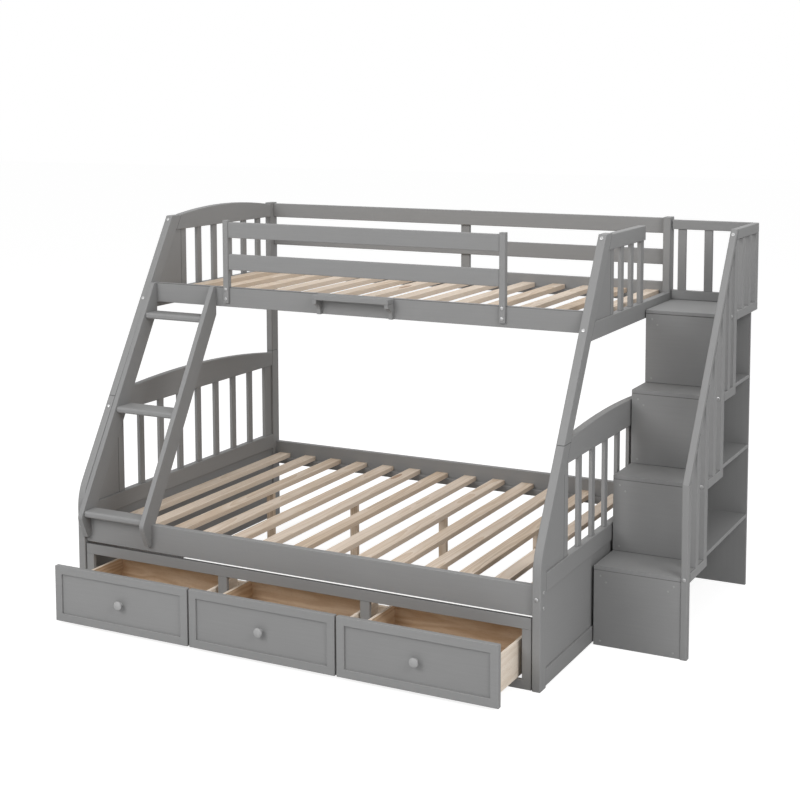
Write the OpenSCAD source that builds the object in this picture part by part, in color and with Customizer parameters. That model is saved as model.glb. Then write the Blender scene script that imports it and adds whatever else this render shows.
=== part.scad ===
// Twin over full bunk bed with drawers under it, a front ladder and storage stairs.
// Millimetres. X runs along the bed towards the stairs, Y from front to back, Z up.
// Places are laid out from the inner face of the left end, the front of the legs and
// the floor, and the whole part is then moved so that its origin is on the floor at
// the middle of its outline.

/* [Bed ends] */
// Clear length between the two bed ends
bed_len = 1930; // [1880:1:2050]
// Depth of the bed over its end posts
bed_w = 1475; // [1465:1:1500]
// Thickness of every end post along the bed
post_t = 32; // [31:1:40]
// Depth of the straight foot of the front leg
leg_w = 55; // [48:1:58]
// Width of the leaning part of the front leg, square to its slope
lean_w = 59.5; // [56:0.5:62]
// Lean of the front post from upright, in degrees
lean_deg = 30.4; // [29.9:0.1:30.8]
// Height where the front leg starts to lean
bend_z = 457; // [450:1:464]
// Radius of the bend on the front edge of the leg
bend_r = 220; // [120:5:260]
// Height of the joint between the lower and the upper posts
seam_z = 818; // [800:1:822]
// Top of the front post
front_top_z = 1527; // [1515:1:1530]
// Top of the back post
back_top_z = 1531; // [1530:1:1560]
// Depth of the back post
back_post_w = 56; // [50:1:60]
// Thickness of the rails and arches that join the posts
frame_t = 30; // [26:1:31]
// Thickness of the panels, stiles and fillers held in the rails
infill_t = 16; // [12:1:20]
// Thickness of the upright bars
bar_t = 14; // [12:1:16]
// Width of the upright bars
bar_w = 33; // [28:1:38]
// Width of a stile in the end panels
stile_w = 38; // [34:1:40]

/* [Lower end panels] */
// Gap from the floor to the bottom rail of an end
foot_gap = 6; // [4:1:12]
// Height of the bottom rail
foot_rail_h = 61; // [55:1:66]
// Underside of the middle rail
mid_rail_z = 341; // [330:1:350]
// Height of the middle rail
mid_rail_h = 67; // [60:1:70]
// Front edge of the first stile
low_stile_y = 237; // [232:1:238]
// Front edge of the first lower bar
low_bar_y = 383; // [370:1:390]
// Number of lower bars
low_bars = 7; // [5:1:7]
// Width of the back stile
low_back_stile_w = 58; // [48:1:70]
// Underside of the lower arch
low_arch_z = 746; // [742:1:750]
// Crest of the lower arch
low_arch_top = 854; // [845:1:860]
// Radius of the lower arch
low_arch_r = 4850; // [4500:10:5600]
// Distance of the lower arch crest from the front
low_arch_y = 750; // [740:1:760]

/* [Upper end panels] */
// Underside of the upper end rail
end_rail_z = 1149; // [1140:1:1155]
// Height of the upper end rail
end_rail_h = 66; // [60:1:70]
// Front edge of the upper stile
top_stile_y = 701; // [699:1:705]
// Front edge of the first upper bar
top_bar_y = 824; // [815:1:830]
// Gap from the last upper bar to the back post
top_bar_end = 77; // [60:1:90]
// Number of upper bars at the ladder end
top_bars = 5; // [3:1:5]
// Number of upper bars beside the stair opening
entry_bars = 2; // [1:1:2]
// Front edge of the stile that closes the short panel
entry_stile_y = 1058; // [1052:1:1064]
// Underside of the upper arch
top_arch_z = 1464; // [1458:1:1468]
// Crest of the upper arch
top_arch_top = 1552; // [1546:1:1556]
// Radius of the upper arch
top_arch_r = 2552; // [2450:1:2650]
// Distance of the upper arch crest from the front
top_arch_y = 1041; // [1036:1:1046]
// Height of the straight rail beside the stair opening
entry_rail_h = 59; // [50:1:62]

/* [Side rails and slats] */
// Thickness of the long side rails
rail_t = 25; // [22:1:27]
// Front face of the lower front rail
low_front_y = 15; // [12:1:18]
// Underside of the lower side rails
low_rail_z = 262; // [261:1:270]
// Top of the lower side rails
low_rail_top = 370; // [360:1:380]
// Front face of the upper front rail
top_front_y = 482; // [480:1:484]
// Underside of the upper side rails
top_rail_z = 1175; // [1170:1:1180]
// Top of the upper side rails
top_rail_top = 1256; // [1252:1:1262]
// Distance of the back rails from the back face of the bed
back_rail_in = 4; // [3:1:8]
// Width and height of the strips that carry the slats
ledger = 25; // [20:1:30]
// Top of the lower slats
low_slat_top = 318; // [314:1:322]
// Top of the upper slats
top_slat_top = 1221; // [1219:1:1226]
// Thickness of a slat
slat_t = 20; // [16:1:22]
// Width of a slat
slat_w = 58; // [50:1:64]
// Number of slats in each deck
slats = 14; // [12:1:15]
// Distance of the first slat from the bed end
slat_in = 22; // [16:1:30]
// Distance of the legs under the lower slats from the front
prop_y = 860; // [700:1:900]
// Width of a leg under the slats
prop_w = 34; // [26:1:44]
// Depth of a leg under the slats
prop_d = 20; // [16:1:26]
// Number of slats from one leg to the next
prop_every = 3; // [2:1:4]

/* [Guard boards] */
// Height of a guard board
guard_h = 65; // [58:1:70]
// Underside of the lower guard board
guard_low_z = 1329; // [1325:1:1333]
// Underside of the upper guard board
guard_high_z = 1461; // [1456:1:1464]
// Thickness of a front guard board
guard_t = 18; // [15:1:20]
// Thickness of a back guard board
back_guard_t = 16; // [13:1:18]
// Width of a front guard stile
guard_stile_w = 25; // [22:1:32]
// Thickness of a front guard stile above the rail
guard_stile_t = 26; // [24:1:30]
// Thickness of the part of a guard stile that laps the rail
guard_lap = 11.5; // [10:0.5:13]
// Underside of a front guard stile
guard_stile_z = 1192; // [1185:1:1198]
// Top of a front guard stile
guard_stile_top = 1533; // [1528:1:1540]
// Distance of the first front guard stile from the ladder end
guard_left_in = 363; // [350:1:380]
// Distance of the last front guard stile from the stair end
guard_right_in = 308; // [290:1:330]
// Centre of the back guard stile
back_stile_x = 1002; // [950:1:1050]
// Width of the back guard stile
back_stile_w = 45; // [38:1:55]

/* [Bedside shelf] */
// Distance of the shelf from the ladder end
shelf_x = 811; // [760:1:860]
// Length of the shelf
shelf_len = 338; // [300:1:360]
// Depth of the shelf
shelf_d = 50; // [44:1:56]
// Thickness of the shelf board
shelf_t = 20; // [16:1:22]
// Thickness of a shelf bracket
bracket_t = 16; // [14:1:20]
// Depth of a bracket's leg on the rail
bracket_leg = 15; // [12:1:18]
// Height of a bracket's front lip
bracket_lip = 15; // [12:1:18]

/* [Ladder] */
// Width over the ladder
ladder_w = 321; // [300:1:335]
// Thickness of a ladder side
stringer_t = 21; // [18:1:24]
// Width of a ladder side, square to its slope
stringer_w = 73; // [68:1:78]
// Lean of the ladder from upright, in degrees
ladder_deg = 29.8; // [29.4:0.1:30.2]
// Front edge of a ladder side where it meets the top of the upper rail
ladder_top_y = 464.5; // [460:0.5:468]
// Lowest point of a ladder side
ladder_z = 286; // [280:1:300]
// Width of the flat end of a ladder side at its lowest point
ladder_toe = 20; // [14:1:26]
// Height of the front corner of a ladder side
ladder_corner_z = 372; // [362:1:382]
// Rounding of that corner
ladder_corner_r = 28; // [16:1:34]
// Top of the lowest tread, which rests on the lower rail
step_low_top = 396; // [392:1:400]
// Top of the middle tread
step_mid_top = 777; // [765:1:790]
// Top of the highest tread
step_high_top = 1138; // [1130:1:1142]
// Thickness of the two upper treads
step_t = 25; // [20:1:28]
// Depth of the two upper treads
step_d = 100; // [90:1:104]
// Depth of the lowest tread
step_low_d = 72; // [66:1:80]
// Rounding of the front edge of a tread
step_r = 9; // [5:1:9]
// Distance of a tread's front edge behind the front edge of the ladder sides
step_in = 3; // [0:1:6]

/* [Drawer frame] */
// Distance of the drawer frame behind the front of the legs
unit_y = 6; // [3:1:8]
// Thickness of the drawer frame
unit_t = 16; // [14:1:18]
// Gap from the drawer frame to the rail above it
unit_gap = 6; // [4:1:10]
// Height of the top rail of the drawer frame
unit_top_h = 41; // [36:1:44]
// Height of the bottom rail of the drawer frame
unit_foot_h = 33; // [28:1:34]
// Width of the outer stiles of the drawer frame
unit_end_w = 39; // [34:1:44]
// Width of the two stiles between the drawers
unit_mid_w = 39; // [34:1:44]
// Depth of the shadow line at the ends of the drawer frame
unit_rebate = 4.5; // [2:0.5:6]
// Width of the runner under a drawer
runner_w = 60; // [40:1:80]
// Gap from a shut drawer to the cross board behind it
cross_gap = 8; // [4:1:40]
// Thickness of the cross board
cross_t = 18; // [15:1:22]
// Height of the cross board
cross_h = 60; // [45:1:80]

/* [Drawers] */
// Width of a drawer front
front_w = 619; // [600:1:622]
// Spacing of the drawers
front_step = 626.5; // [624:0.5:628]
// Underside of a drawer front
front_z = 13; // [10:1:18]
// Height of a drawer front
front_h = 219; // [210:1:224]
// Thickness of a drawer front
front_t = 20; // [18:1:22]
// Width of the raised frame of a drawer front
front_frame_w = 31; // [26:1:36]
// Thickness of the sunk panel of a drawer front
front_panel_t = 13; // [10:1:15]
// How far each drawer stands open
drawer_open = 202; // [150:1:215]
// Gap from a shut drawer front to the drawer frame
shut_gap = 1; // [0.5:0.1:2]
// Width over a drawer box
box_w = 564; // [540:1:568]
// Length of a drawer box
box_len = 360; // [345:1:362]
// Height of a drawer box above the bottom rail of the drawer frame
box_lift = 3; // [2:0.5:6]
// Height of the boards of a drawer box
box_h = 129; // [120:1:140]
// Thickness of the drawer box boards
box_t = 12; // [10:1:14]
// Thickness of the drawer bottom
bottom_t = 6; // [5:1:8]
// Gap between a runner and the drawer that slides on it
runner_gap = 0.5; // [0.3:0.1:1]
// Radius of a knob
knob_r = 17.5; // [15:0.5:20]
// Projection of a knob
knob_len = 26; // [22:1:30]
// Radius of the neck of a knob
knob_neck_r = 7.5; // [6:0.5:9]
// Length of the neck of a knob
knob_neck_len = 6; // [4:0.5:7]
// Radius of the crown of a knob
knob_crown_r = 24; // [22:0.5:28]

/* [Stairs] */
// Gap from the bed end to the stairs
stair_gap = 4; // [3:0.5:6]
// Width of the stairs
stair_w = 332; // [320:1:345]
// Distance of the back of the stairs in front of the back of the bed
stair_back_in = 16; // [13:1:19]
// Thickness of the stair boards
board_t = 15; // [14:1:18]
// Depth of the platform
platform_d = 364; // [361:1:367]
// Depth of a tread
going = 207; // [204:1:210]
// Depth of the last tread below the platform
last_going = 165; // [160:1:170]
// Top of the first tread
tread_z = 304; // [300:1:308]
// Rise from tread to tread
rise = 294; // [290:1:296]

/* [Stair railing] */
// Thickness of the railing
railing_t = 26; // [22:1:30]
// Distance of the newel's front face in front of the first riser
newel_lead = 5; // [3:1:8]
// Depth of the newel
newel_d = 32; // [30:1:36]
// Slope of the handrail, in degrees
hand_deg = 55.5; // [55:0.1:56]
// Height where the handrail starts on the front face of the newel
hand_z = 647; // [640:1:652]
// Width of the handrail, square to its slope
hand_w = 20; // [18:1:24]
// Top of the railing
hand_top_z = 1520; // [1515:1:1525]
// Width of a railing stile
rail_stile_w = 41; // [38:1:42]
// Distance of a railing stile in front of the riser behind it
rail_stile_lead = 5; // [3:1:8]
// Distance of the last stile from the back of the stairs
rail_back_in = 7; // [5:1:12]
// Width of a railing bar
rail_bar_w = 36; // [30:1:40]
// Number of bars beside the platform
platform_bars = 2; // [1:1:3]
// Drop of a section's bottom rail below its tread
rail_drop = 23; // [20:1:26]
// Height of a section's bottom rail
rail_foot_h = 35; // [32:1:38]
// Height of the railing's top rail
rail_head_h = 40; // [36:1:44]
// Thickness of the guard at the back of the platform
back_panel_t = 25; // [20:1:28]
// Height of its rails
back_panel_h = 39; // [34:1:44]
// Distance of its first bar from the side of the stairs
back_panel_in = 23; // [18:1:26]
// Spacing of its bars
back_panel_step = 112; // [108:1:114]
// Width of its bars
back_panel_bar = 35; // [32:1:38]
// Number of its bars
back_panel_bars = 3; // [2:1:3]

/* [Fasteners] */
// Radius of a bolt head
bolt_r = 7; // [5:0.5:8]
// Height of a bolt head
bolt_h = 2.5; // [2:0.5:3]
// Radius of the key socket in a bolt head
key_r = 3; // [2:0.5:3.5]
// Depth of the key socket
key_d = 1.5; // [1:0.5:1.5]
// Radius of a screw cap on a riser
cap_r = 4; // [3:0.5:5]
// Height of a screw cap
cap_h = 1; // [0.8:0.1:1.5]
// Distance of the screw caps from the side edges of a riser
cap_in = 26; // [22:1:30]
// Distance of the screw caps from the top edge of a riser
cap_down = 22; // [18:1:30]
// Distance of the lowest caps from the lower edge of a riser
cap_up = 18; // [14:1:24]
// Radius of the spacers between the bed and the stairs
spacer_r = 12; // [8:1:15]

/* [Hidden] */
// Clearance in the joints between boards
fit = 0.3;
// Length that a cutting body runs past the solid it cuts
past = 5;
// Sides of a round fastener or knob
round_sides = 48;
// Sides of the discs of large radius that cut the arches
arch_sides = 1200;
// Flat stretches of one rounded edge
round_steps = 5;
// Flat stretches of the bend of a front leg
bend_steps = 12;
// Places of the bolts in the slope of the front posts: below the top of the post,
// above the underside of the end rail, and below the joint of the posts
post_bolt_down = 15;
rail_bolt_up = 45;
seam_bolt_down = 40;
// The lower bolt of a pair above the underside of its rail or stile, and the
// distance between the two
leg_bolt_up = 29;
leg_bolt_gap = 55;
front_bolt_up = 64;
guard_bolt_up = 16;
guard_bolt_gap = 40;
// Heights of the spacers on the back post, as shares of the platform's height
spacer_shares = [0.3, 0.6, 0.9];

gray = [0.42, 0.42, 0.41];
dark_gray = [0.36, 0.36, 0.35];
pine = [0.80, 0.70, 0.57];
deal = [0.66, 0.52, 0.40];
steel = [0.74, 0.74, 0.73];

// Slopes, and widths measured level, that follow from the angles
lean = tan(lean_deg);
lean_level = lean_w / cos(lean_deg);
ladder_lean = tan(ladder_deg);
ladder_level = stringer_w / cos(ladder_deg);
hand_rise = tan(hand_deg);
hand_level = hand_w / sin(hand_deg);

// Planes shared by several pieces
mid_rail_top = mid_rail_z + mid_rail_h;
end_rail_top = end_rail_z + end_rail_h;
foot_rail_top = foot_gap + foot_rail_h;
back_post_y = bed_w - back_post_w;
back_rail_back = bed_w - back_rail_in;
back_rail_y = back_rail_back - rail_t;
low_back_stile_y = back_post_y - low_back_stile_w;
low_bar_step = (low_back_stile_y - low_bar_y) / low_bars;
top_bar_step = (back_post_y - top_bar_end - bar_w - top_bar_y) / (top_bars - 1);
entry_bar_step = (entry_stile_y - top_bar_y) / entry_bars;
slat_step = (bed_len - 2 * slat_in - slat_w) / (slats - 1);
entry_end_y = entry_stile_y + stile_w;
entry_rail_top = top_arch_z + entry_rail_h;
guard_front_y = top_front_y - guard_lap;
guard_left_x = guard_left_in;
guard_right_x = bed_len - guard_right_in - guard_stile_w;
shelf_under = top_rail_top - shelf_t;
unit_top = low_rail_z - unit_gap;
unit_back = unit_y + unit_t;
box_z = unit_foot_h + box_lift;
runner_top = box_z - runner_gap;
cross_y = unit_y - shut_gap + box_len + cross_gap;
drawer_back_y = unit_y - shut_gap - drawer_open;
drawer_front_y = drawer_back_y - front_t;
stair_x = bed_len + post_t + stair_gap;
stair_end = stair_x + stair_w;
railing_end = stair_end + railing_t;
stair_back = bed_w - stair_back_in;
stair_front = stair_back - platform_d - last_going - 2 * going;
newel_y = stair_front - newel_lead;
back_board_y = stair_back - board_t;
newel_back = newel_y + newel_d;
platform_z = tread_z + 3 * rise;

// The outline of the whole part, from which its origin follows
x_low = -post_t - bolt_h;
x_high = railing_end;
y_low = drawer_back_y - front_panel_t - knob_len;
y_high = bed_w;

// Edges of the leaning front post at a height, and heights on its back edge
function front_at(z) = max(0, (z - bend_z) * lean);
function back_at(z) = max(leg_w, (z - bend_z) * lean + lean_level);
function back_z(y) = bend_z + (y - lean_level) / lean;

// Edges of a ladder side
function ladder_front(z) = ladder_top_y - (top_rail_top - z) * ladder_lean;
function ladder_back_z(y) = top_rail_top - (ladder_top_y + ladder_level - y) / ladder_lean;
function ladder_back_y(z) = ladder_front(z) + ladder_level;

// Places along the stairs
function nose(k) = stair_front + min(k, 2) * going + max(k - 2, 0) * last_going;
function tread_top(k) = tread_z + k * rise;
function drawer_x(k) = bed_len / 2 + (k - 1) * front_step;

// The underside of the handrail, as a height and as a distance from the front
function hand_under_z(y) = hand_z + (y - newel_y - hand_level) * hand_rise;
function hand_under_y(z) = newel_y + hand_level + (z - hand_z) / hand_rise;
function hand_front_y(z) = newel_y + (z - hand_z) / hand_rise;

// Points of an arc of radius r at a corner whose two edges face angles a0 and a1
function arc_at(corner, a0, a1, r, steps = round_steps) =
  let (n0 = [cos(a0), sin(a0)], n1 = [cos(a1), sin(a1)],
    centre = corner - r * (n0 + n1) / (1 + n0 * n1))
  [for (k = [0 : steps])
    let (a = a0 + (a1 - a0) * k / steps) centre + r * [cos(a), sin(a)]];

// A box from its low corner to its high corner
module block(x0, x1, y0, y1, z0, z1) {
  translate([x0, y0, z0])
    cube([x1 - x0, y1 - y0, z1 - z0]);
}

// A plate with its outline in Y and Z, from x0 to x1
module side_plate(x0, x1, points) {
  translate([x0, 0, 0])
    rotate([90, 0, 90])
      linear_extrude(height = x1 - x0)
        polygon(points);
}

// A board with its outline in X and Y, from z0 to z1
module flat_plate(z0, z1, points) {
  translate([0, 0, z0])
    linear_extrude(height = z1 - z0)
      polygon(points);
}

// The whole part stands with its origin on the floor, at the middle of its outline
module placed() {
  translate([-(x_low + x_high) / 2, -(y_low + y_high) / 2, 0])
    children();
}

// The left end as it is drawn, or its mirror image at the right end
module at_end(right) {
  if (right) {
    translate([bed_len, 0, 0])
      mirror([1, 0, 0])
        children();
  } else {
    children();
  }
}

// Plates and bars centred in the thickness of the end posts
module centred_plate(t, points) {
  side_plate(-(post_t + t) / 2, -(post_t - t) / 2, points);
}

module centred_bar(t, y0, y1, z0, z1) {
  block(-(post_t + t) / 2, -(post_t - t) / 2, y0, y1, z0, z1);
}

// Bed ends

module front_leg() {
  side_plate(-post_t, 0, concat([[0, 0], [leg_w, 0], [leg_w, back_z(leg_w)],
    [back_at(seam_z), seam_z], [front_at(seam_z), seam_z]],
    arc_at([0, bend_z], 180 - lean_deg, 180, bend_r, bend_steps)));
}

module front_post() {
  side_plate(-post_t, 0, [[front_at(seam_z), seam_z], [back_at(seam_z), seam_z],
    [back_at(front_top_z), front_top_z], [front_at(front_top_z), front_top_z]]);
}

module back_leg() {
  block(-post_t, 0, back_post_y, bed_w, 0, seam_z);
}

module back_post() {
  block(-post_t, 0, back_post_y, bed_w, seam_z, back_top_z);
}

module lower_rails() {
  centred_bar(frame_t, leg_w, back_post_y, foot_gap, foot_rail_top);
  centred_bar(frame_t, leg_w, back_post_y, mid_rail_z, mid_rail_top);
}

module base_panel() {
  centred_bar(infill_t, leg_w, back_post_y, foot_rail_top, mid_rail_z);
}

// The filler follows the slope of the leg up to the stile
module lower_infill() {
  filler_y = low_stile_y - fit;
  centred_plate(infill_t, [[leg_w, mid_rail_top], [filler_y, mid_rail_top],
    [filler_y, back_z(filler_y)], [leg_w, back_z(leg_w)]]);
  centred_plate(infill_t, [[low_stile_y, mid_rail_top], [low_stile_y + stile_w, mid_rail_top],
    [low_stile_y + stile_w, low_arch_z], [back_at(low_arch_z), low_arch_z],
    [low_stile_y, back_z(low_stile_y)]]);
  for (k = [0 : low_bars - 1]) {
    y0 = low_bar_y + k * low_bar_step;
    centred_bar(bar_t, y0, y0 + bar_w, mid_rail_top, low_arch_z);
  }
  centred_bar(infill_t, low_back_stile_y, back_post_y, mid_rail_top, low_arch_z);
}

// An arched rail is a plate under the rim of a disc of large radius
module arched_rail(z0, y1, crest_y, crest_z, r) {
  intersection() {
    centred_plate(frame_t, [[back_at(z0), z0], [y1, z0],
      [y1, crest_z + past], [back_at(crest_z + past), crest_z + past]]);
    translate([-post_t, crest_y, crest_z - r])
      rotate([0, 90, 0])
        cylinder(h = post_t, r = r, $fn = arch_sides);
  }
}

module lower_arch() {
  arched_rail(low_arch_z, back_post_y, low_arch_y, low_arch_top, low_arch_r);
}

module end_rail() {
  centred_plate(frame_t, [[back_at(end_rail_z), end_rail_z], [back_post_y, end_rail_z],
    [back_post_y, end_rail_top], [back_at(end_rail_top), end_rail_top]]);
}

// The panel beside the stair opening has fewer bars and a stile that closes it
module upper_infill(entry) {
  filler_y = top_stile_y - fit;
  centred_plate(infill_t, [[back_at(end_rail_top), end_rail_top], [filler_y, end_rail_top],
    [filler_y, top_arch_z], [back_at(top_arch_z), top_arch_z]]);
  centred_bar(infill_t, top_stile_y, top_stile_y + stile_w, end_rail_top, top_arch_z);
  for (k = [0 : (entry ? entry_bars : top_bars) - 1]) {
    y0 = top_bar_y + k * (entry ? entry_bar_step : top_bar_step);
    centred_bar(bar_t, y0, y0 + bar_w, end_rail_top, top_arch_z);
  }
  if (entry) {
    centred_bar(infill_t, entry_stile_y, entry_end_y, end_rail_top, top_arch_z);
  }
}

module upper_arch() {
  arched_rail(top_arch_z, back_post_y, top_arch_y, top_arch_top, top_arch_r);
}

// The short panel beside the stair opening has a straight top rail
module entry_rail() {
  centred_plate(frame_t, [[back_at(top_arch_z), top_arch_z], [entry_end_y, top_arch_z],
    [entry_end_y, entry_rail_top], [back_at(entry_rail_top), entry_rail_top]]);
}

// Long rails, ledgers and slats

module front_rail(y0, z0, z1) {
  block(0, bed_len, y0, y0 + rail_t, z0, z1);
}

module ledger_pair(rail_y, slat_top) {
  z1 = slat_top - slat_t;
  block(0, bed_len, rail_y + rail_t, rail_y + rail_t + ledger, z1 - ledger, z1);
  block(0, bed_len, back_rail_y - ledger, back_rail_y, z1 - ledger, z1);
}

module slat_deck(rail_y, slat_top) {
  for (k = [0 : slats - 1]) {
    x0 = slat_in + k * slat_step;
    block(x0, x0 + slat_w, rail_y + rail_t + fit, back_rail_y - fit,
      slat_top - slat_t, slat_top);
  }
}

module slat_props() {
  for (k = [prop_every - 1 : prop_every : slats - 1]) {
    x0 = slat_in + k * slat_step + (slat_w - prop_w) / 2;
    block(x0, x0 + prop_w, prop_y, prop_y + prop_d, 0, low_slat_top - slat_t);
  }
}

// Guards of the upper bed

module back_guard_boards() {
  stile_y = back_rail_y + back_guard_t + fit;
  for (z0 = [guard_low_z, guard_high_z]) {
    block(0, bed_len, back_rail_y, back_rail_y + back_guard_t, z0, z0 + guard_h);
  }
  block(back_stile_x - back_stile_w / 2, back_stile_x + back_stile_w / 2,
    stile_y, bed_w, top_rail_top, guard_high_z + guard_h);
}

module guard_stile(x0) {
  back_y = guard_front_y + guard_stile_t;
  side_plate(x0, x0 + guard_stile_w, [[guard_front_y, guard_stile_z],
    [top_front_y, guard_stile_z], [top_front_y, top_rail_top], [back_y, top_rail_top],
    [back_y, guard_stile_top], [guard_front_y, guard_stile_top]]);
}

module guard_board(z0) {
  y0 = guard_front_y + (guard_stile_t - guard_t) / 2;
  block(guard_left_x + guard_stile_w, guard_right_x, y0, y0 + guard_t, z0, z0 + guard_h);
}

// Shelf on the upper front rail

module shelf_board() {
  block(shelf_x, shelf_x + shelf_len, top_front_y - shelf_d, top_front_y,
    shelf_under, top_rail_top);
}

// A bracket has a front lip, a hollow quarter round and a leg on the rail
module shelf_bracket(x0) {
  front = top_front_y - shelf_d;
  leg = top_front_y - bracket_leg;
  lip_z = shelf_under - bracket_lip;
  translate([x0, 0, 0])
    rotate([90, 0, 90])
      linear_extrude(height = bracket_t)
        difference() {
          polygon([[front, shelf_under], [front, lip_z], [front, lip_z - (leg - front)],
            [leg, lip_z - (leg - front)], [leg, top_rail_z], [top_front_y, top_rail_z],
            [top_front_y, shelf_under]]);
          translate([front, lip_z - (leg - front)])
            circle(r = leg - front, $fn = round_sides);
        }
}

// Ladder

// A ladder side stands on the lower rail with a notch that laps its front
module ladder_side(x0) {
  toe_y = low_front_y - ladder_toe;
  corner = [ladder_front(ladder_corner_z), ladder_corner_z];
  down = atan2(ladder_z - ladder_corner_z, toe_y - corner[0]);
  side_plate(x0, x0 + stringer_t, concat(
    [[low_front_y, ladder_z], [low_front_y, low_rail_top],
      [ladder_back_y(low_rail_top), low_rail_top],
      [top_front_y, ladder_back_z(top_front_y)], [top_front_y, top_rail_top],
      [ladder_top_y, top_rail_top]],
    arc_at(corner, 180 - ladder_deg, 270 + down, ladder_corner_r),
    [[toe_y, ladder_z]]));
}

// A tread with a rounded front edge, given its top, its front and its back
module ladder_tread(z1, t, y0, y1) {
  side_plate(stringer_t + fit, ladder_w - stringer_t, concat(
    [[y1, z1 - t], [y1, z1]],
    arc_at([y0, z1], 90, 180, step_r), arc_at([y0, z1 - t], 180, 270, step_r)));
}

module ladder_steps() {
  low_y = ladder_front(step_low_top) + step_in;
  ladder_tread(step_low_top, step_low_top - low_rail_top, low_y, low_y + step_low_d);
  for (z1 = [step_mid_top, step_high_top]) {
    y0 = ladder_front(z1) + step_in;
    ladder_tread(z1, step_t, y0, min(y0 + step_d, top_front_y));
  }
}

// Drawer frame and runners

module frame_board(x0, x1, z0, z1) {
  block(x0, x1, unit_y, unit_back, z0, z1);
}

// An outer stile has a step that leaves a shadow line beside the leg
module end_stile(z0, z1) {
  middle = unit_y + unit_t / 2;
  flat_plate(z0, z1, [[unit_rebate, unit_y], [unit_end_w, unit_y], [unit_end_w, unit_back],
    [0, unit_back], [0, middle], [unit_rebate, middle]]);
}

module drawer_face_frame() {
  low = unit_foot_h + fit;
  high = unit_top - unit_top_h - fit;
  frame_board(unit_rebate, bed_len - unit_rebate, 0, unit_foot_h);
  frame_board(unit_rebate, bed_len - unit_rebate, unit_top - unit_top_h, unit_top);
  end_stile(low, high);
  translate([bed_len, 0, 0])
    mirror([1, 0, 0])
      end_stile(low, high);
  for (side = [-1, 1]) {
    x = bed_len / 2 + side * front_w / 2;
    frame_board(x - unit_mid_w / 2, x + unit_mid_w / 2, low, high);
  }
}

// The cross board runs from the bottom rail of one end to that of the other
module runner_frame() {
  end_in = (post_t - frame_t) / 2;
  for (k = [0 : 2]) {
    block(drawer_x(k) - runner_w / 2, drawer_x(k) + runner_w / 2, unit_back,
      cross_y - fit, 0, runner_top);
  }
  block(-end_in, bed_len + end_in, cross_y, cross_y + cross_t, 0, cross_h);
}

// Drawers

module drawer_front_frame(k) {
  x0 = drawer_x(k) - front_w / 2;
  x1 = x0 + front_w;
  z1 = front_z + front_h;
  for (x = [x0, x1 - front_frame_w]) {
    block(x, x + front_frame_w, drawer_front_y, drawer_back_y, front_z, z1);
  }
  for (z = [front_z, z1 - front_frame_w]) {
    block(x0 + front_frame_w + fit, x1 - front_frame_w - fit, drawer_front_y,
      drawer_back_y, z, z + front_frame_w);
  }
}

module drawer_panel(k) {
  x0 = drawer_x(k) - front_w / 2 + front_frame_w + fit;
  block(x0, x0 + front_w - 2 * front_frame_w - 2 * fit, drawer_back_y - front_panel_t,
    drawer_back_y, front_z + front_frame_w, front_z + front_h - front_frame_w);
}

// Two sides, a back, an inner front and a bottom let in between them
module drawer_box(k) {
  x0 = drawer_x(k) - box_w / 2;
  x1 = x0 + box_w;
  y1 = drawer_back_y + box_len;
  z1 = box_z + box_h;
  for (x = [x0, x1 - box_t]) {
    block(x, x + box_t, drawer_back_y, y1, box_z, z1);
  }
  for (y = [drawer_back_y, y1 - box_t]) {
    block(x0 + box_t + fit, x1 - box_t - fit, y, y + box_t, box_z + bottom_t + fit, z1);
  }
  block(x0 + box_t + fit, x1 - box_t - fit, drawer_back_y, y1, box_z, box_z + bottom_t);
}

// A turned knob: a neck, a hollow flare, a rim and a low crown
module knob_profile() {
  hollow_r = knob_r - knob_neck_r;
  difference() {
    intersection() {
      square([knob_r, knob_len]);
      translate([0, knob_len - knob_crown_r])
        circle(r = knob_crown_r, $fn = round_sides);
    }
    translate([knob_r, knob_neck_len])
      circle(r = hollow_r, $fn = round_sides);
    translate([knob_neck_r, 0])
      square([knob_r, knob_neck_len]);
  }
}

module drawer_knob(k) {
  translate([drawer_x(k), drawer_back_y - front_panel_t, front_z + front_h / 2])
    rotate([90, 0, 0])
      rotate_extrude($fn = round_sides)
        knob_profile();
}

// Stairs

// A tread is full width up to the riser behind it, and then lies inside the side
module tread_boards() {
  for (k = [0 : 2]) {
    z1 = tread_top(k);
    turn_y = nose(k + 1) + board_t;
    flat_plate(z1 - board_t, z1, [[stair_x, nose(k)], [stair_end, nose(k)],
      [stair_end, back_board_y], [stair_x + board_t, back_board_y],
      [stair_x + board_t, turn_y], [stair_x, turn_y]]);
  }
  block(stair_x, stair_end, nose(3), stair_back, platform_z - board_t, platform_z);
}

module riser_boards() {
  for (k = [0 : 3]) {
    z0 = k == 0 ? 0 : tread_top(k - 1);
    block(stair_x, stair_end, nose(k), nose(k) + board_t, z0, tread_top(k) - board_t);
  }
}

module stepped_side() {
  side_plate(stair_x, stair_x + board_t, concat([[back_board_y, 0], [nose(0) + board_t, 0]],
    [for (k = [0 : 3]) each [[nose(k) + board_t, tread_top(k) - board_t],
      [k == 3 ? back_board_y : nose(k + 1) + board_t, tread_top(k) - board_t]]]));
}

module back_board() {
  block(stair_x, stair_end, back_board_y, stair_back, 0, platform_z - board_t);
}

// Stair railing

head_z = hand_top_z - rail_head_h;
rail_end_y = stair_back - rail_back_in;

// Front and back edges of the stiles, counted from the newel
function stile_front(k) = k == 4 ? rail_end_y - rail_stile_w : nose(k) - rail_stile_lead;
function stile_back(k) = k == 0 ? newel_back : stile_front(k) + rail_stile_w;
function foot_top(k) = tread_top(k) - rail_drop + rail_foot_h;

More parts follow.
